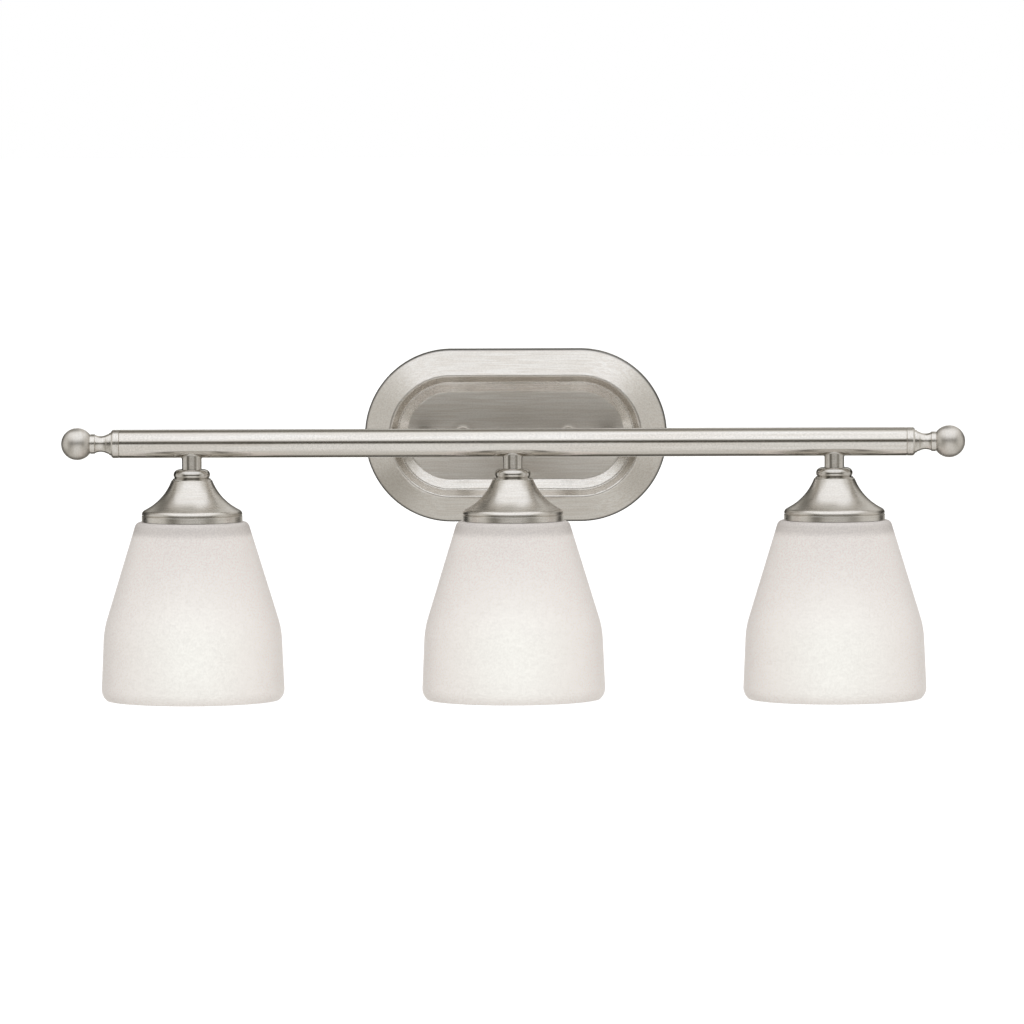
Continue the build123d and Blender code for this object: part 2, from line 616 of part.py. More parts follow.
def lamp_glass(x):
    """A pear-shaped bulb: a neck that comes out of the base and swells into a round globe."""
    neck_r = LAMP_BASE_RADIUS - LAMP_BASE_SHEET - THREAD_GAP
    bottom = LAMP_TOP + LAMP_LENGTH
    globe = bottom - LAMP_GLOBE_RADIUS
    neck_top = LAMP_TOP + LAMP_BUTTON + LAMP_INSULATOR + LAMP_BASE - LAMP_IN_BASE
    neck_end = neck_top + LAMP_NECK

    def on_globe(radius, angle):
        return (radius * cos(angle), -globe + radius * sin(angle))

    def envelope(inset):
        radius = LAMP_GLOBE_RADIUS - inset
        neck = (neck_r - inset, -neck_end)
        start = on_globe(radius, LAMP_SWELL)
        flank = Spline(neck, start, tangents=[(0, -1, 0), (sin(LAMP_SWELL), -cos(LAMP_SWELL), 0)])
        crown = ThreePointArc(start, on_globe(radius, -pi / 4), on_globe(radius, -pi / 2))
        return [Line((neck_r - inset, -neck_top), neck), flank, crown]

    outer, inner = envelope(0), envelope(LAMP_GLASS)
    ends = [
        Line((neck_r, -neck_top), (neck_r - LAMP_GLASS, -neck_top)),
        Line((0, -bottom), (0, -bottom + LAMP_GLASS)),
    ]
    return turned(closed(*outer, *inner, *ends), x)


# ---------------------------------------------------------------- leads and wire connectors

def lead(light, pole):
    """An insulated lead from a socket rivet, up the stem, along the bar and down an arm to its connector.

    Pole is 1 for live and -1 for neutral. The two leads of a light bend one inside the other and never cross.
    """
    x, toward, side = LIGHTS[light], TOWARD_ARM[light], ARM_OF[light]
    rivet = x + toward * (CONTACT_RIVET_X if pole > 0 else SHELL_RIVET_X)
    in_stem = x - toward * pole * LEAD_OFFSET
    in_arm = side * ARM_X - toward * LEAD_OFFSET
    level = pole * LEAD_OFFSET
    lane = pole * (LEAD_LANE_Z + (LEAD_LANE_STEP if light == "left" else 0))
    mouth = LEAD_MOUTH_OFFSET[light] - pole * CONNECTOR_X
    points = [
        (rivet, -BAR_REACH, -CHAMBER_BOTTOM),
        (rivet, -BAR_REACH, -CHAMBER_BOTTOM + LEAD_RISE),
        (in_stem, -BAR_REACH, -CHAMBER_TOP - LEAD_CEILING),
        (in_stem, -BAR_REACH, level),
        (in_arm, -BAR_REACH, level),
        (in_arm, -LEAD_REACH, level),
        (in_arm, -LEAD_REACH, lane),
        (mouth, -LEAD_REACH, lane),
        (mouth, -CONNECTOR_REACH, lane + pole * LEAD_CLIMB),
        (mouth, -CONNECTOR_REACH, pole * (CONNECTOR_MOUTH_Z + CONNECTOR_BORE)),
    ]
    path = FilletPolyline(*points, radius=2 * [LEAD_TIGHT_BEND] + 6 * [LEAD_BEND])
    return sweep(Plane(path @ 0, z_dir=path % 0) * Circle(LEAD_RADIUS), path)


def wire_connector(pole):
    """A twist-on connector, its mouth towards the middle of the plate."""
    outline = Polyline(
        (CONNECTOR_BORE_RADIUS, 0), (CONNECTOR_MOUTH_RADIUS, 0), (CONNECTOR_TIP_RADIUS, CONNECTOR_LENGTH),
        (0, CONNECTOR_LENGTH), (0, CONNECTOR_BORE), (CONNECTOR_BORE_RADIUS, CONNECTOR_BORE),
        close=True,
    )
    cap = revolve(Plane.XZ * closed(outline), Axis.Z)
    cap = cap if pole > 0 else Rot(180, 0, 0) * cap
    return Pos(-pole * CONNECTOR_X, -CONNECTOR_REACH, pole * CONNECTOR_MOUTH_Z) * cap


# ---------------------------------------------------------------- the parts

save("bar_tube", bar_tube())
for side_name, side in SIDES.items():
    save(f"bar_plug_{side_name}", end_plug(side))
    save(f"finial_{side_name}", finial(side))
    save(f"arm_{side_name}", arm(side))
    save(f"stud_washer_{side_name}", stud_washer(side))
    save(f"ball_nut_{side_name}", ball_nut(side))
save("backplate", backplate())
save("mounting_plate", mounting_plate())
save("ground_screw", ground_screw())
save("arm_nipples", *[arm_nipple(s) for s in SIDES.values()])
save("arm_washers", *[arm_washer(s) for s in SIDES.values()])
save("arm_nuts", *[arm_nut(s) for s in SIDES.values()])
save("mounting_studs", *[mounting_stud(s) for s in SIDES.values()])
save("stud_nuts", *[stud_nut(s) for s in SIDES.values()])
save("stem_nipples", *[stem_nipple(x) for x in LIGHTS.values()])
save("holder_nuts", *[holder_nut(x) for x in LIGHTS.values()])
for light, x in LIGHTS.items():
    save(f"stem_{light}", stem(x))
    save(f"collar_{light}", collar(x))
    save(f"shade_holder_{light}", shade_holder(x))
    save(f"glass_shade_{light}", glass_shade(x))
    save(f"shade_ring_{light}", shade_ring(x))
    save(f"socket_{light}", socket(x, SOCKET_TURN[light]))
    save(f"socket_shell_{light}", socket_shell(x, SOCKET_TURN[light]))
    save(f"socket_contact_{light}", socket_contact(x, SOCKET_TURN[light]))
    save(f"lamp_contact_{light}", lamp_contact(x))
    save(f"lamp_base_{light}", lamp_base(x))
    save(f"lamp_glass_{light}", lamp_glass(x))
save("live_leads", *[lead(light, 1) for light in LIGHTS])
save("neutral_leads", *[lead(light, -1) for light in LIGHTS])
save("wire_connectors", wire_connector(1), wire_connector(-1))
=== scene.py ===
import bmesh
import bpy
from math import cos, pi, radians, sin, sqrt
from mathutils import Matrix, Vector


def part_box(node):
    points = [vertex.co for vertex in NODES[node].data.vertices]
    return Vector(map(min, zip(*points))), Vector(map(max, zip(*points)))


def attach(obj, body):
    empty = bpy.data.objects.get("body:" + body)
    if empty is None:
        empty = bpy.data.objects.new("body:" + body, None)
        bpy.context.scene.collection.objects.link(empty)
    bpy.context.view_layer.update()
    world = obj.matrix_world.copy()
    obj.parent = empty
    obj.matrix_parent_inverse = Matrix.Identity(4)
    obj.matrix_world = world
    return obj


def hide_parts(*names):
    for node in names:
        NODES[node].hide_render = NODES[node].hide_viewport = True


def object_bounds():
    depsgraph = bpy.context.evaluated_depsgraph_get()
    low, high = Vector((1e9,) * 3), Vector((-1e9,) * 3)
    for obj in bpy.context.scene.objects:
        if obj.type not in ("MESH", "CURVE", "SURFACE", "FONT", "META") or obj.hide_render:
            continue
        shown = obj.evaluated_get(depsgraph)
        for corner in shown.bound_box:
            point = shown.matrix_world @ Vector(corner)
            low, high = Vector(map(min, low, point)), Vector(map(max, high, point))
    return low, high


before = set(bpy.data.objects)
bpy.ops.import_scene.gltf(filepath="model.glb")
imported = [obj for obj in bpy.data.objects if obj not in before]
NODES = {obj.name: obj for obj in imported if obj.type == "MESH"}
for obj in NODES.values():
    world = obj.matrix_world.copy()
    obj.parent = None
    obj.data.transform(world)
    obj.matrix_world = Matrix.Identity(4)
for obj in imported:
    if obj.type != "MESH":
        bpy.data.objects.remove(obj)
cad_low, cad_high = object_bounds()
LIGHTS = ("left", "centre", "right")
SIDES = ("left", "right")
MM = 0.001


def middle(node):
    """The middle of a CAD node's box."""
    low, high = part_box(node)
    return (low + high) / 2


BAR = middle("bar_tube")
BAR_RADIUS = (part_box("bar_tube")[1].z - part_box("bar_tube")[0].z) / 2


# ---------------------------------------------------------------- shader expressions

class Signal:
    """A number on a socket; arithmetic on it adds Math nodes."""

    def __init__(self, finish, socket):
        self.finish = finish
        self.socket = socket

    def __add__(self, other):
        return self.finish.math("ADD", self, other)

    def __radd__(self, other):
        return self.finish.math("ADD", other, self)

    def __sub__(self, other):
        return self.finish.math("SUBTRACT", self, other)

    def __rsub__(self, other):
        return self.finish.math("SUBTRACT", other, self)

    def __mul__(self, other):
        return self.finish.math("MULTIPLY", self, other)

    def __rmul__(self, other):
        return self.finish.math("MULTIPLY", other, self)

    def __truediv__(self, other):
        return self.finish.math("DIVIDE", self, other)

    def __pow__(self, other):
        return self.finish.math("POWER", self, other)

    def __abs__(self):
        return self.finish.math("ABSOLUTE", self)


# The Mix node repeats its sockets for each kind of data. These are the ones for colours.
MIX_FACTOR, MIX_A, MIX_B, MIX_RESULT = 0, 6, 7, 2


class Finish:
    """A node tree that is built from expressions."""

    def __init__(self, owner):
        owner.use_nodes = True
        self.owner = owner
        self.tree = owner.node_tree
        self.tree.nodes.clear()

    def node(self, kind, settings=None, inputs=None, output=0):
        """Add one node: its settings first, then the values or links of its inputs."""
        node = self.tree.nodes.new(kind)
        for key, value in (settings or {}).items():
            setattr(node, key, value)
        for key, value in (inputs or {}).items():
            if isinstance(value, Signal):
                self.tree.links.new(value.socket, node.inputs[key])
            else:
                node.inputs[key].default_value = value
        return Signal(self, node.outputs[output]) if len(node.outputs) else None

    def math(self, operation, a, b=0.0):
        return self.node("ShaderNodeMath", {"operation": operation}, {0: a, 1: b})

    def smooth(self, value, start, end):
        """0 below start and 1 above end, with a soft step between."""
        settings = {"interpolation_type": "SMOOTHSTEP"}
        return self.node("ShaderNodeMapRange", settings, {0: value, 1: start, 2: end})

    def larger(self, a, b):
        return self.math("MAXIMUM", a, b)

    def mix(self, factor, a, b, blend="MIX"):
        """Mix two colours."""
        settings = {"data_type": "RGBA", "blend_type": blend}
        inputs = {MIX_FACTOR: factor, MIX_A: rgba(a), MIX_B: rgba(b)}
        return self.node("ShaderNodeMix", settings, inputs, MIX_RESULT)

    def split(self, vector):
        """The X, Y and Z of a vector, as three signals."""
        parts = self.node("ShaderNodeSeparateXYZ", inputs={0: vector}).socket.node
        return [Signal(self, parts.outputs[n]) for n in range(3)]

    def vector(self, x, y, z):
        return self.node("ShaderNodeCombineXYZ", inputs={0: x, 1: y, 2: z})

    def place(self):
        """The point on the part, in metres, as three signals."""
        return self.split(self.node("ShaderNodeTexCoord", output="Object"))

    def normal(self):
        """The surface's own direction, as three signals."""
        return self.split(self.node("ShaderNodeNewGeometry", output="Normal"))

    def facing(self):
        """1 where the surface looks at the viewer and 0 at its edge."""
        return 1.0 - self.node("ShaderNodeLayerWeight", {}, {"Blend": 0.5}, "Facing")

    def root(self, value):
        return self.math("SQRT", value)

    def times(self, colour, share):
        """A colour times a number."""
        return self.mix(1.0, colour, self.vector(share, share, share), "MULTIPLY")

    def noise(self, point, scale=1.0, detail=2.0, roughness=0.5, w=None):
        settings = {"noise_dimensions": "3D" if w is None else "4D"}
        inputs = {"Vector": point, "Scale": scale, "Detail": detail, "Roughness": roughness}
        if w is not None:
            inputs["W"] = w
        return self.node("ShaderNodeTexNoise", settings, inputs)

    def bump(self, height, strength, distance):
        inputs = {"Strength": strength, "Distance": distance, "Height": height}
        return self.node("ShaderNodeBump", {}, inputs)

    def surface(self, **inputs):
        """The one shader of the material, from its socket names with _ for spaces."""
        inputs = {key.replace("_", " "): value for key, value in inputs.items()}
        shader = self.node("ShaderNodeBsdfPrincipled", {}, inputs)
        self.node("ShaderNodeOutputMaterial", {}, {"Surface": shader})
        return self.owner


def rgba(colour):
    """A colour as a socket takes it."""
    return colour if isinstance(colour, Signal) else (*colour, 1.0)


# ---------------------------------------------------------------- finishes

NICKEL = (0.740, 0.710, 0.668)
NICKEL_WARM = (0.705, 0.668, 0.618)
NICKEL_PALE = (0.785, 0.763, 0.725)
CLOUDS = 26.0  # features to the metre
SPECKS = 1150.0


def brushed(name, lines, roughness, depth=0.03, contrast=1.0, rougher=None, darker=None):
    """Brushed nickel. Lines gives the points at which the fine and the broad streaks are read.

    Rougher and darker give a part's own added roughness, and the share of its colour that is left,
    from a point on it.
    """
    finish = Finish(bpy.data.materials.new(name))
    fine_point, broad_point, w = lines(finish)
    fine = finish.noise(fine_point, 1.0, 3.0, 0.6, w)
    broad = finish.noise(broad_point, 1.0, 2.0, 0.5, w)
    x, y, z = finish.place()
    point = finish.vector(x, y, z)
    cloud = finish.noise(point, CLOUDS, 3.0, 0.55)
    speck = finish.smooth(finish.noise(point, SPECKS, 2.0, 0.6), 0.34, 0.66)
    streak = finish.smooth(broad, 0.5 - 0.16 / contrast, 0.5 + 0.16 / contrast)
    tint = finish.mix(streak, NICKEL_WARM, NICKEL_PALE)
    base = finish.mix(finish.smooth(cloud, 0.3, 0.7) * 0.5, tint, NICKEL)
    share = 0.94 + speck * 0.12
    rough = roughness + (fine - 0.5) * 0.10 + (cloud - 0.5) * 0.06
    if rougher:
        rough = rough + rougher(finish, x, y, z)
    if darker:
        share = share * darker(finish, x, y, z)
    return finish.surface(
        Base_Color=finish.times(base, share), Metallic=1.0, Roughness=rough,
        Normal=finish.bump(fine, depth, 0.4 * MM),
    )


def stretched(finish, axis, along, across):
    """A point at which noise is drawn out along one axis. Along and across are features to the metre."""
    point = finish.place()
    return finish.vector(*[point[n] * (along if n == axis else across) for n in range(3)])


def lengthwise_lines(axis):
    """Streaks along a tube that lies along X or Y, axis 0 or 1."""
    def lines(finish):
        return stretched(finish, axis, 14.0, 1500.0), stretched(finish, axis, 9.0, 330.0), None
    return lines


def sheet_lines(finish):
    """Shorter streaks along X, as on a part brushed before it was pressed."""
    return stretched(finish, 0, 90.0, 1500.0), stretched(finish, 0, 36.0, 900.0), None


RING_FINE = 2600.0  # features to the metre, as are those of the other streaks
RING_BROAD = 900.0


def ringed_lines(axis, centre):
    """Streaks round an axis, 0, 1 or 2 for X, Y or Z, through a centre."""
    def lines(finish):
        point = finish.place()
        along = point[axis]
        a, b = [point[n] - centre[n] for n in range(3) if n != axis]
        radius = finish.root(a * a + b * b)
        turn_a = a / (radius + 0.1 * MM)
        turn_b = b / (radius + 0.1 * MM)
        fine = finish.vector(radius * RING_FINE, along * RING_FINE, turn_a * 1.6)
        broad = finish.vector(radius * RING_BROAD, along * RING_BROAD, turn_a * 1.1)
        return fine, broad, turn_b * 1.6
    return lines


def plain(name, colour, shade, roughness, metallic=0.0, grain=400.0, depth=0.05):
    """A finish with slow mottling between a colour and its shade, and a fine grain."""
    finish = Finish(bpy.data.materials.new(name))
    x, y, z = finish.place()
    point = finish.vector(x, y, z)
    cloud = finish.noise(point, 90.0, 4.0, 0.6)
    fine = finish.noise(point, grain, 3.0, 0.6)
    base = finish.mix(finish.smooth(cloud, 0.35, 0.7), shade, colour)
    rough = roughness + (fine - 0.5) * 0.15
    normal = finish.bump(fine, depth, 0.3 * MM)
    return finish.surface(Base_Color=base, Metallic=metallic, Roughness=rough, Normal=normal)


GLOW_DROP = 26.0 * MM
GLOW_REACH = 80.0 * MM
GLASS_PALE = (0.80, 0.755, 0.725)
GLASS_DEEP = (0.70, 0.655, 0.635)
# The inner wall's colour, painted darker as shade.
GLASS_INSIDE_SHADE = (0.46, 0.43, 0.40)


def etched_glass(light):
    """White glass, etched satin, lit from inside by its lamp: the light through it is a painted glow."""
    finish = Finish(bpy.data.materials.new(f"etched white glass {light}"))
    low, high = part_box(f"glass_shade_{light}")
    lamp = middle(f"lamp_glass_{light}")
    x, y, z = finish.place()
    point = finish.vector(x, y, z)
    cloud = finish.noise(point, 60.0, 4.0, 0.6)
    grain = finish.noise(point, 900.0, 3.0, 0.65)
    height = (z - low.z) / (high.z - low.z)
    facing = finish.facing()

    # Painted glow: brightest beside the lamp and where the wall is looked at squarely, with a painted
    # shadow under the holder.
    glow_band = 1.0 - finish.smooth(abs(z - (lamp.z - GLOW_DROP)), 5.0 * MM, GLOW_REACH)
    painted_hotspot = glow_band * (facing ** 3.0)
    clear_of_holder_shadow = finish.smooth(height, 0.955, 0.91)
    speck = finish.smooth(grain, 0.34, 0.66)
    mottle = 0.86 + cloud * 0.10 + speck * 0.18
    glow = (0.238 + 0.030 * (1.0 - facing) + painted_hotspot * 0.214) * (0.33 + clear_of_holder_shadow * 0.67) * mottle

    # The wall's inner side looks back at the shade's own axis. There the painted glow is weaker and the
    # colour is painted darker, as shade.
    across, deep, _ = finish.normal()
    outward = (x - lamp.x) * across + (y - lamp.y) * deep
    inside = finish.smooth(outward * -1.0, -4.0 * MM, 12.0 * MM)
    glow = glow * (1.0 - 0.60 * inside)
    base = finish.mix(inside * 0.35, finish.mix(speck, GLASS_DEEP, GLASS_PALE), GLASS_INSIDE_SHADE)
    # The painted hotspot shifts the painted glow's colour, as the lamp's light.
    tint = finish.mix(painted_hotspot, (1.0, 0.955, 0.92), (0.945, 0.985, 0.935))
    return finish.surface(
        Base_Color=base, Roughness=0.42 + (grain - 0.5) * 0.1,
        Normal=finish.bump(grain, 0.06, 0.3 * MM), IOR=1.5,
        Emission_Color=finish.times(tint, glow), Emission_Strength=1.0,
    )


def lit_lamp_glass(light):
    """Frosted glass that shines warm, least at its neck and its edge."""
    finish = Finish(bpy.data.materials.new(f"frosted lamp glass {light}"))
    low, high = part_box(f"lamp_glass_{light}")
    x, y, z = finish.place()
    grain = finish.noise(finish.vector(x, y, z), 700.0, 2.0, 0.5)
    height = (z - low.z) / (high.z - low.z)
    # The glow fades where the glass turns away from the viewer: painted shade at its edge.
    lit = finish.smooth(height, 0.95, 0.25) * (0.25 + 0.75 * finish.facing())
    glow = finish.mix(lit, (0.36, 0.31, 0.25), (1.0, 0.93, 0.80))
    return finish.surface(
        Base_Color=rgba((0.55, 0.54, 0.52)), Roughness=0.32 + (grain - 0.5) * 0.08,
        Normal=finish.bump(grain, 0.04, 0.2 * MM), Emission_Color=glow, Emission_Strength=0.85,
    )


def stem_tone(finish, x, y, z):
    """A stem and its collar are a shade darker than the spun holder under them."""
    return 0.86


# The plate ends in two half rounds of radius PLATE_END, whose centres are PLATE_SPINE from the middle.
plate_low, plate_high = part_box("backplate")
PLATE_END = (plate_high.z - plate_low.z) / 2
PLATE_SPINE = (plate_high.x - plate_low.x) / 2 - PLATE_END
PLATE_BEND = plate_high.y - 8.0 * MM
STEP_INNER = 29.8 * MM
STEP_OUTER = 40.9 * MM


def plate_bend_shade(finish, x, y, z):
    """The bend at the plate's rim is painted darker, as a line of shade."""
    bend = finish.smooth(y, PLATE_BEND - 1.8 * MM, PLATE_BEND - 0.4 * MM)
    past = finish.smooth(y, PLATE_BEND + 1.1 * MM, PLATE_BEND + 2.0 * MM)
    return 1.0 - 0.74 * bend * (1.0 - past)


def plate_roughness(finish, x, y, z):
    """The step round the plate's floor is polished, unlike the brushed flats."""
    beyond = finish.larger(abs(x) - PLATE_SPINE, 0.0)
    out = finish.root(beyond * beyond + z * z)
    step = finish.smooth(out, STEP_INNER - MM, STEP_INNER + MM)
    return -0.05 * step * (1.0 - finish.smooth(out, STEP_OUTER - MM, STEP_OUTER + MM))


BALL_START = cad_high.x - 21.0 * MM


def ball_roughness(finish, x, y, z):
    """The finial's ball is brushed coarser than its neck."""
    return 0.15 * finish.smooth(abs(x), BALL_START, BALL_START + 3.0 * MM)


# Each plain finish: name, colour, shade, roughness, metallic, grain to the metre, depth of the grain.
PLAIN = {
    "zinc": ("zinc plated steel", (0.62, 0.63, 0.64), (0.50, 0.50, 0.49), 0.34, 1.0, 700.0, 0.08),
    "green": ("green dyed screw", (0.05, 0.33, 0.13), (0.04, 0.25, 0.10), 0.30, 0.6),
    "ring": ("machined aluminium", (0.74, 0.74, 0.73), (0.66, 0.66, 0.65), 0.30, 1.0, 900.0, 0.06),
    "phenolic": (
        "moulded phenolic", (0.040, 0.034, 0.030), (0.026, 0.022, 0.020), 0.42, 0.0, 1200.0, 0.1,
    ),
    "brass": ("stamped brass", (0.74, 0.56, 0.28), (0.60, 0.43, 0.20), 0.30, 1.0, 800.0, 0.06),
    "black lead": (
        "black insulation", (0.030, 0.030, 0.032), (0.022, 0.022, 0.023), 0.45, 0.0, 1500.0, 0.1,
    ),
    "white lead": (
        "white insulation", (0.82, 0.82, 0.80), (0.74, 0.74, 0.71), 0.42, 0.0, 1500.0, 0.1,
    ),
    "connector": (
        "orange moulded plastic", (0.80, 0.27, 0.03), (0.70, 0.22, 0.02), 0.36, 0.0, 1100.0, 0.08,
    ),
}
FINISHES = {
    "bar": brushed("brushed nickel tube", lengthwise_lines(0), 0.17),
    "arm": brushed("brushed nickel arm", lengthwise_lines(1), 0.20),
    "plate": brushed(
        "brushed nickel sheet", sheet_lines, 0.32, 0.06, 1.4, plate_roughness, plate_bend_shade,
    ),
    **{key: plain(*look) for key, look in PLAIN.items()},
}


INSULATOR = 3.2 * MM


def lamp_base_finish(light):
    """A bright thread shell under a black glass insulator."""
    finish = Finish(bpy.data.materials.new(f"lamp base {light}"))
    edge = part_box(f"lamp_base_{light}")[1].z - INSULATOR
    x, y, z = finish.place()
    point = finish.vector(x, y, z)
    cloud = finish.noise(point, 120.0, 3.0, 0.6)
    grain = finish.noise(point, 900.0, 3.0, 0.6)
    shell = finish.smooth(z, edge + 0.2 * MM, edge - 0.2 * MM)
    metal = finish.mix(cloud, (0.70, 0.69, 0.66), (0.79, 0.78, 0.76))
    base = finish.mix(shell, (0.016, 0.015, 0.018), metal)
    rough = 0.22 + (grain - 0.5) * 0.12 + 0.06 * shell
    normal = finish.bump(grain, 0.05, 0.3 * MM)
    return finish.surface(Base_Color=base, Metallic=shell, Roughness=rough, Normal=normal)


def turned_nickel(name, axis, centre, roughness, **more):
    """Nickel brushed round an axis through a centre, as on a lathe."""
    lines = ringed_lines(axis, centre)
    return brushed(f"brushed nickel {name}", lines, roughness, 0.05, 0.6, **more)


def wear(node, finish):
    """Give one CAD node its finish."""
    slots = NODES[node].data.materials
    slots.clear()
    slots.append(finish)


SINGLE_NODES = {
    "bar": ("bar_tube",),
    "plate": ("backplate",),
    "zinc": (
        "mounting_plate", "arm_nipples", "arm_washers", "arm_nuts", "mounting_studs", "stud_nuts",
        "stem_nipples", "holder_nuts",
    ),
    "green": ("ground_screw",),
    "black lead": ("live_leads",),
    "white lead": ("neutral_leads",),
    "connector": ("wire_connectors",),
}
SIDE_NODES = {"zinc": ("bar_plug", "stud_washer"), "arm": ("arm",)}
LIGHT_NODES = {
    "ring": ("shade_ring",),
    "phenolic": ("socket",),
    "brass": ("socket_shell", "socket_contact", "lamp_contact"),
}
for nodes_by_finish, endings in (
    (SINGLE_NODES, ("",)),
    (SIDE_NODES, [f"_{side}" for side in SIDES]),
    (LIGHT_NODES, [f"_{light}" for light in LIGHTS]),
):
    for key, nodes in nodes_by_finish.items():
        for node in nodes:
            for ending in endings:
                wear(node + ending, FINISHES[key])
for side in SIDES:
    finial, nut = f"finial_{side}", f"ball_nut_{side}"
    wear(finial, turned_nickel(f"finial {side}", 0, middle(finial), 0.25, rougher=ball_roughness))
    wear(nut, turned_nickel(f"ball nut {side}", 1, middle(nut), 0.20))
for light in LIGHTS:
    centre = middle(f"stem_{light}")
    spun = turned_nickel(f"light {light}", 2, centre, 0.28)
    polished = turned_nickel(f"stem {light}", 2, centre, 0.17, darker=stem_tone)
    wear(f"stem_{light}", polished)
    wear(f"collar_{light}", polished)
    wear(f"shade_holder_{light}", spun)
    wear(f"glass_shade_{light}", etched_glass(light))
    wear(f"lamp_base_{light}", lamp_base_finish(light))
    wear(f"lamp_glass_{light}", lit_lamp_glass(light))


# ---------------------------------------------------------------- meshes

SHARP_ANGLE = radians(50)


def add_piece(name, points, faces, finish, body, replaced=()):
    """A closed mesh that rides on a body and may stand for CAD nodes."""
    mesh = bpy.data.meshes.new(name)
    mesh.from_pydata(points, [], faces)
    mesh.materials.append(finish)
    shape = bmesh.new()
    shape.from_mesh(mesh)
    bmesh.ops.recalc_face_normals(shape, faces=shape.faces)
    shape.to_mesh(mesh)
    shape.free()
    mesh.shade_smooth()
    mesh.set_sharp_from_angle(angle=SHARP_ANGLE)
    piece = bpy.data.objects.new(name, mesh)
    bpy.context.scene.collection.objects.link(piece)
    if replaced:
        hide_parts(*replaced)
    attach(piece, body)
    return piece


def loops_to_faces(rows, columns, closed_rows):
    """Quads between rows of a grid whose columns go all the way round."""
    faces = []
    for row in range(rows if closed_rows else rows - 1):
        below = (row + 1) % rows
        for column in range(columns):
            beside = (column + 1) % columns
            faces.append((
                row * columns + column, row * columns + beside,
                below * columns + beside, below * columns + column,
            ))
    return faces


# ---------------------------------------------------------------- brazed joints

BRAZE = 1.3 * MM
BRAZE_SINK = 0.25 * MM
BRAZE_TURNS = 72
BRAZE_STEPS = 7


def braze(name, centre, branch, radius, finish):
    """The metal in the corner where a tube leaves the bar. Branch is the way that the tube goes."""
    side = Vector((1, 0, 0)).cross(branch)
    rings = [[] for _ in range(BRAZE_STEPS + 2)]

    def on_bar(reach, turn, sink=0.0):
        across = reach * sin(turn)
        return (
            centre + Vector((reach * cos(turn), 0, 0)) + side * across
            + branch * (sqrt(BAR_RADIUS**2 - across**2) - sink)
        )

    for step in range(BRAZE_TURNS):
        turn = 2 * pi * step / BRAZE_TURNS
        corner = on_bar(radius, turn)
        on_tube = on_bar(radius - BRAZE_SINK, turn) + branch * BRAZE
        outer = on_bar(radius + BRAZE, turn, BRAZE_SINK)
        for row in range(BRAZE_STEPS + 1):
            share = row / BRAZE_STEPS
            curve = on_tube * (1 - share) ** 2 + corner * (2 * share * (1 - share)) + outer * share**2
            rings[row].append(curve)
        rings[-1].append(on_bar(radius - BRAZE_SINK, turn, BRAZE_SINK))
    points = [point for ring in rings for point in ring]
    faces = loops_to_faces(len(rings), BRAZE_TURNS, True)
    return add_piece(name, points, faces, finish, "fixture")


STEM_RADIUS = (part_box("stem_left")[1].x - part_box("stem_left")[0].x) / 2
BRANCHES = [(f"stem_{light}", Vector((0, 0, -1))) for light in LIGHTS]
BRANCHES += [(f"arm_{side}", Vector((0, 1, 0))) for side in SIDES]
for node, branch in BRANCHES:
    foot = Vector((middle(node).x, BAR.y, BAR.z))
    braze(f"{node}_braze", foot, branch, STEM_RADIUS, NODES[node].data.materials[0])


# ---------------------------------------------------------------- threads

THREAD_SINK = 0.15 * MM
THREAD_STEPS = 30  # a turn
THREAD_WIDTH = 0.8  # of the pitch
THREAD_FADE = 1.5  # over 2/3 of a turn
THREAD_SECTION = ((-0.5, 0.0), (-0.28, 0.55), (-0.12, 0.93), (0.12, 0.93), (0.28, 0.55), (0.5, 0.0))


def thread(name, start, end, radius, height, pitch, finish, body):
    """A right-hand thread's crest round a shaft, which fades into the shaft at both ends."""
    axis = (end - start).normalized()
    side = Vector((1, 0, 0)) if abs(axis.x) < 0.5 else Vector((0, 0, 1))
    other = axis.cross(side)
    turns = (end - start).length / pitch
    steps = round(turns * THREAD_STEPS)
    points = []
    for step in range(steps + 1):
        turned = turns * step / steps
        fade = min(1.0, turned * THREAD_FADE, (turns - turned) * THREAD_FADE)
        out = side * cos(2 * pi * turned) + other * sin(2 * pi * turned)
        for along, rise in THREAD_SECTION:
            advance = axis * pitch * (turned + along * fade * THREAD_WIDTH)
            points.append(start + advance + out * (radius + height * rise * fade))
        points.append(start + axis * pitch * turned + out * (radius - THREAD_SINK))
    columns = len(THREAD_SECTION) + 1
    faces = loops_to_faces(steps + 1, columns, False)
    faces += [tuple(range(columns)), tuple(range(steps * columns, (steps + 1) * columns))]
    return add_piece(name, points, faces, finish, body)


SOCKET_THREAD_RADIUS = 19.5 * MM
SOCKET_THREAD_HEIGHT = 0.22 * MM
SOCKET_THREAD_SPAN = (28.0 * MM, 0.6 * MM)  # above the socket's lower end, from top to bottom
SOCKET_PITCH = 2.5 * MM
LAMP_THREAD_HEIGHT = 0.2 * MM
LAMP_THREAD_SPAN = (18.6 * MM, 2.6 * MM)  # above the lamp base's lower end
LAMP_PITCH = 3.629 * MM
STUD_RADIUS = 2.05 * MM
STUD_THREAD_HEIGHT = 0.12 * MM
STUD_THREAD_MARGIN = 0.3 * MM
STUD_PITCH = 0.794 * MM

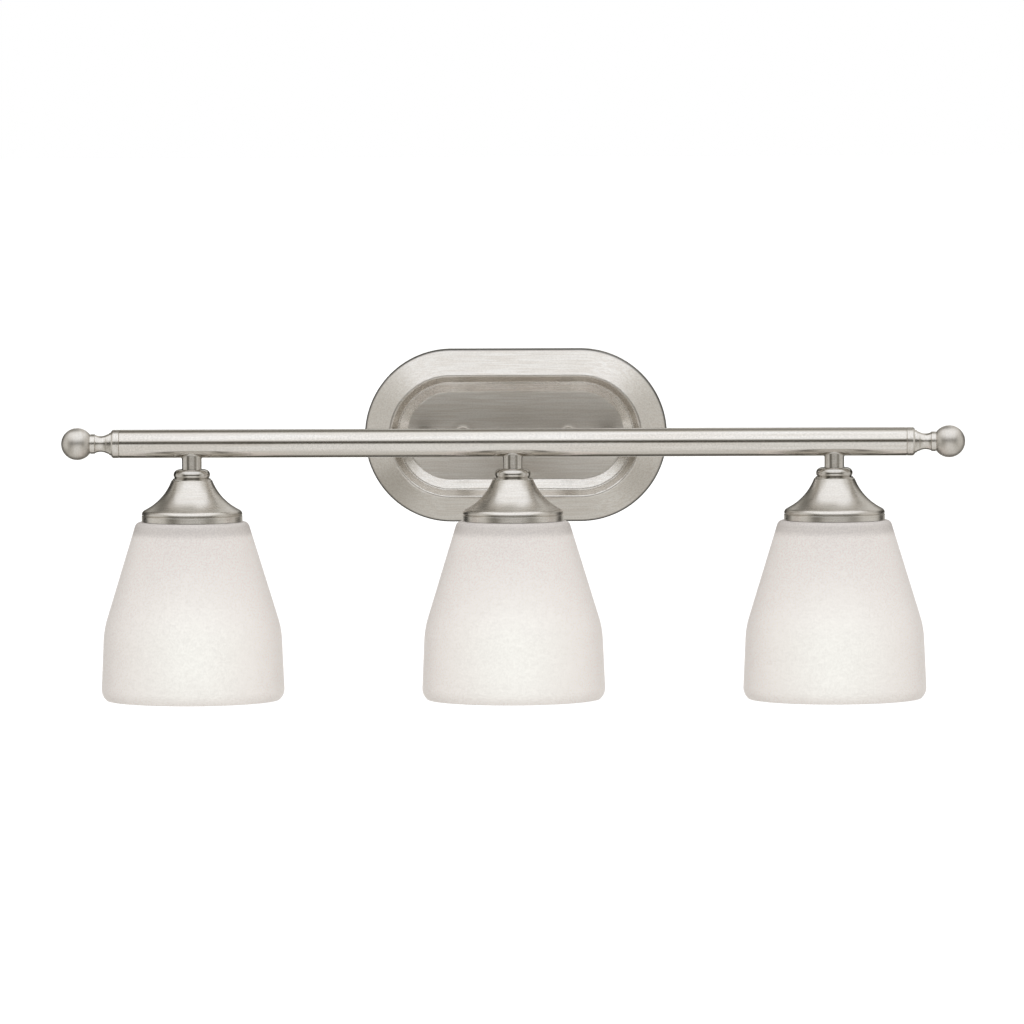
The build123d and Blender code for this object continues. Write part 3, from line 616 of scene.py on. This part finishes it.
for light in LIGHTS:
    socket, lamp_base = f"socket_{light}", f"lamp_base_{light}"
    x = middle(socket).x
    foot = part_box(socket)[0].z
    start, end = [Vector((x, BAR.y, foot + rise)) for rise in SOCKET_THREAD_SPAN]
    thread(
        f"socket_thread_{light}", start, end, SOCKET_THREAD_RADIUS, SOCKET_THREAD_HEIGHT, SOCKET_PITCH,
        FINISHES["phenolic"], "fixture",
    )
    low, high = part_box(lamp_base)
    start, end = [Vector((x, BAR.y, low.z + rise)) for rise in LAMP_THREAD_SPAN]
    thread(
        f"lamp_thread_{light}", start, end, (high.x - low.x) / 2, LAMP_THREAD_HEIGHT, LAMP_PITCH,
        NODES[lamp_base].data.materials[0], f"lamp_{light}",
    )

low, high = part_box("mounting_studs")
stud_x = (high.x - low.x) / 2 - STUD_RADIUS
stud_z = middle("mounting_studs").z
for side, x in zip(SIDES, (-stud_x, stud_x)):
    thread(
        f"stud_thread_{side}", Vector((x, high.y - STUD_THREAD_MARGIN, stud_z)),
        Vector((x, low.y + STUD_THREAD_MARGIN, stud_z)), STUD_RADIUS, STUD_THREAD_HEIGHT, STUD_PITCH,
        FINISHES["zinc"], "fixture",
    )


# ---------------------------------------------------------------- wire connectors

CAP_LENGTH = 18.0 * MM
CAP_MOUTH_RADIUS = 5.0 * MM
CAP_MOUTH_EDGE = 0.3 * MM
CAP_SKIRT = 3.0 * MM
CAP_SHOULDER = 16.4 * MM
CAP_TIP_RADIUS = 3.6 * MM
CAP_TIP_FLAT = 0.3 * MM
CAP_BORE_RADIUS = 3.4 * MM
CAP_BORE = 12.0 * MM
CAP_FLUTES = 14
CAP_FLUTE_DEPTH = 0.42 * MM
CAP_COLUMNS = CAP_FLUTES * 10
CAP_CONE_STEPS = 14
CAP_DOME_STEPS = 7


def cap_rings():
    """A cap's section: depth from its mouth, radius and how deep the flutes are, from 0 to 1."""
    rings = [
        (0.0, CAP_BORE_RADIUS, 0), (0.0, CAP_MOUTH_RADIUS - CAP_MOUTH_EDGE, 0),
        (CAP_MOUTH_EDGE, CAP_MOUTH_RADIUS, 0),
    ]
    for step in range(CAP_CONE_STEPS + 1):
        share = step / CAP_CONE_STEPS
        depth = CAP_SKIRT + (CAP_SHOULDER - CAP_SKIRT) * share
        cone = CAP_MOUTH_RADIUS + (CAP_TIP_RADIUS - CAP_MOUTH_RADIUS) * depth / CAP_LENGTH
        rings.append((depth, cone, min(1.0, share * 5)))
    for step in range(1, CAP_DOME_STEPS):
        turn = pi / 2 * step / CAP_DOME_STEPS
        depth = CAP_SHOULDER + (CAP_LENGTH - CAP_SHOULDER) * sin(turn)
        rings.append((depth, CAP_TIP_RADIUS * (0.55 + 0.45 * cos(turn)), 1 - step / CAP_DOME_STEPS))
    return rings + [
        (CAP_LENGTH, CAP_TIP_FLAT, 0), (CAP_BORE, CAP_TIP_FLAT, 0), (CAP_BORE, CAP_BORE_RADIUS, 0),
    ]


def wire_caps():
    """Both twist-on caps: a plain skirt at the mouth, flutes for the fingers and a rounded end."""
    low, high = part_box("wire_connectors")
    points, faces = [], []
    rings = cap_rings()
    mouth_z = high.z - CAP_LENGTH
    for pole in (1, -1):
        centre_x = (low.x if pole > 0 else high.x) + pole * CAP_MOUTH_RADIUS
        centre = Vector((centre_x, (low.y + high.y) / 2, 0))
        first = len(points)
        for depth, radius, fluted in rings:
            for column in range(CAP_COLUMNS):
                turn = 2 * pi * column / CAP_COLUMNS
                wave = abs(sin(turn * CAP_FLUTES / 2)) ** 0.7
                reach = radius - CAP_FLUTE_DEPTH * fluted * (1 - wave)
                out = Vector((reach * cos(turn), reach * sin(turn), pole * (mouth_z + depth)))
                points.append(centre + out)
        for face in loops_to_faces(len(rings), CAP_COLUMNS, True):
            faces.append(tuple(first + corner for corner in face))
    return add_piece(
        "wire_connector_caps", points, faces, FINISHES["connector"], "fixture",
        ("wire_connectors",),
    )


wire_caps()


# ---------------------------------------------------------------- studio

FLOOR_DROP = 7.0
FLOOR_SIZE = 700.0
FLOOR_WHITE = (0.93, 0.93, 0.93)


def lay_floor():
    """A plain pale floor, far enough below to leave the underside in view."""
    mesh = bpy.data.meshes.new("floor")
    half = FLOOR_SIZE / 2
    level = cad_low.z - FLOOR_DROP
    corners = [(-half, -half, level), (half, -half, level), (half, half, level), (-half, half, level)]
    mesh.from_pydata(corners, [], [(0, 1, 2, 3)])
    floor = bpy.data.objects.new("floor", mesh)
    bpy.context.scene.collection.objects.link(floor)
    finish = Finish(bpy.data.materials.new("pale floor"))
    mesh.materials.append(finish.surface(
        Base_Color=rgba(FLOOR_WHITE), Roughness=1.0, Specular_IOR_Level=0.0,
        Emission_Color=rgba(FLOOR_WHITE), Emission_Strength=0.5,
    ))
    floor.visible_glossy = False
    floor.visible_diffuse = False
    floor.visible_transmission = False


PANEL_LIGHT = 1.13
LOWER_LIGHT = 0.85
SIDE_LIGHT = 0.68
GAP_LIGHT = 0.08


def build_room():
    """Light from all round, as strong as its direction says, with a white backdrop for the viewer.

    A large soft panel hangs overhead, the sides and the room below are pale, a dim gap is left at eye
    level, and the wall's side is dark.
    """
    world = bpy.data.worlds.new("studio")
    bpy.context.scene.world = world
    finish = Finish(world)
    smooth = finish.smooth
    x, y, z = finish.split(finish.node("ShaderNodeTexCoord", output="Generated"))
    wide, high, down, left = abs(x), abs(z), z * -1.0, x * -1.0

    # The panel, the lower room and the sides: the strongest of them lights each direction.
    above = smooth(z, 0.22, 0.52) * PANEL_LIGHT * (1.0 - 0.34 * smooth(wide, 0.52, 0.78))
    below = smooth(down, -0.08, 0.12) * (LOWER_LIGHT - 0.15 * smooth(down, 0.80, 1.0))
    below = below * (1.0 - 0.36 * smooth(wide, 0.3, 0.75) - 0.14 * smooth(left, 0.1, 0.6))
    beside = smooth(wide, 0.70, 0.94) * SIDE_LIGHT
    light = finish.larger(finish.larger(above, below), finish.larger(beside, GAP_LIGHT))

    # The wall's side is dark, less so overhead, and straight behind the wall it is lit again.
    straight_back = smooth(y, 0.74, 0.92)
    behind = smooth(y - wide * 0.3, 0.14, 0.46) * (0.93 - 0.48 * smooth(z, 0.0, 0.35))
    behind = behind * (1.0 - 0.85 * straight_back)

    # Darker towards the wall on the left, and at both upright corners at eye level.
    leftward = smooth(y - wide * 0.5, -0.08, 0.38) * (1.0 - smooth(x, -0.10, 0.20))
    leftward = leftward * (1.0 - smooth(down, 0.25, 0.75)) * (1.0 - straight_back)
    corner = smooth(wide, 0.45, 0.60) * (1.0 - smooth(wide, 0.68, 0.84))
    corner = corner * (1.0 - smooth(high, 0.12, 0.40)) * (0.50 - 0.25 * smooth(x, -0.2, 0.2))
    light = light * (1.0 - behind) * (1.0 - 0.75 * leftward) * (1.0 - corner)

    # The dimmer the light, the warmer.
    tone = finish.vector(light, light * (0.935 + 0.065 * light), light * (0.79 + 0.21 * light))
    room = finish.node("ShaderNodeBackground", {}, {"Color": tone, "Strength": 1.0})
    backdrop = finish.node("ShaderNodeBackground", {}, {"Color": rgba((1.0, 1.0, 1.0)), "Strength": 1.0})
    seen = finish.node("ShaderNodeLightPath", output="Is Camera Ray")
    both = finish.node("ShaderNodeMixShader", {}, {0: seen, 1: room, 2: backdrop})
    finish.node("ShaderNodeOutputWorld", {}, {"Surface": both})


# ---------------------------------------------------------------- camera

CAMERA_EYE = Vector((0.136, -6.5, 0.327))  # from the middle of the bar
CAMERA_AIM = Vector((-0.0007, 0.0, -0.0464))
CAMERA_LENS = 342.4
CAMERA_SENSOR = 36.0
CAMERA_ROLL = radians(-0.25)


def place_camera():
    """A long lens in front of the bar, a little above it and to its right."""
    data = bpy.data.cameras.new("camera")
    data.lens = CAMERA_LENS
    data.sensor_width = CAMERA_SENSOR
    data.clip_end = 2 * FLOOR_SIZE
    camera = bpy.data.objects.new("camera", data)
    bpy.context.scene.collection.objects.link(camera)
    turn = (CAMERA_AIM - CAMERA_EYE).to_track_quat("-Z", "Y").to_matrix().to_4x4()
    roll = Matrix.Rotation(CAMERA_ROLL, 4, "Z")
    camera.matrix_world = Matrix.Translation(BAR + CAMERA_EYE) @ turn @ roll
    bpy.context.scene.camera = camera


lay_floor()
build_room()
place_camera()
bpy.context.scene.view_settings.view_transform = "Standard"
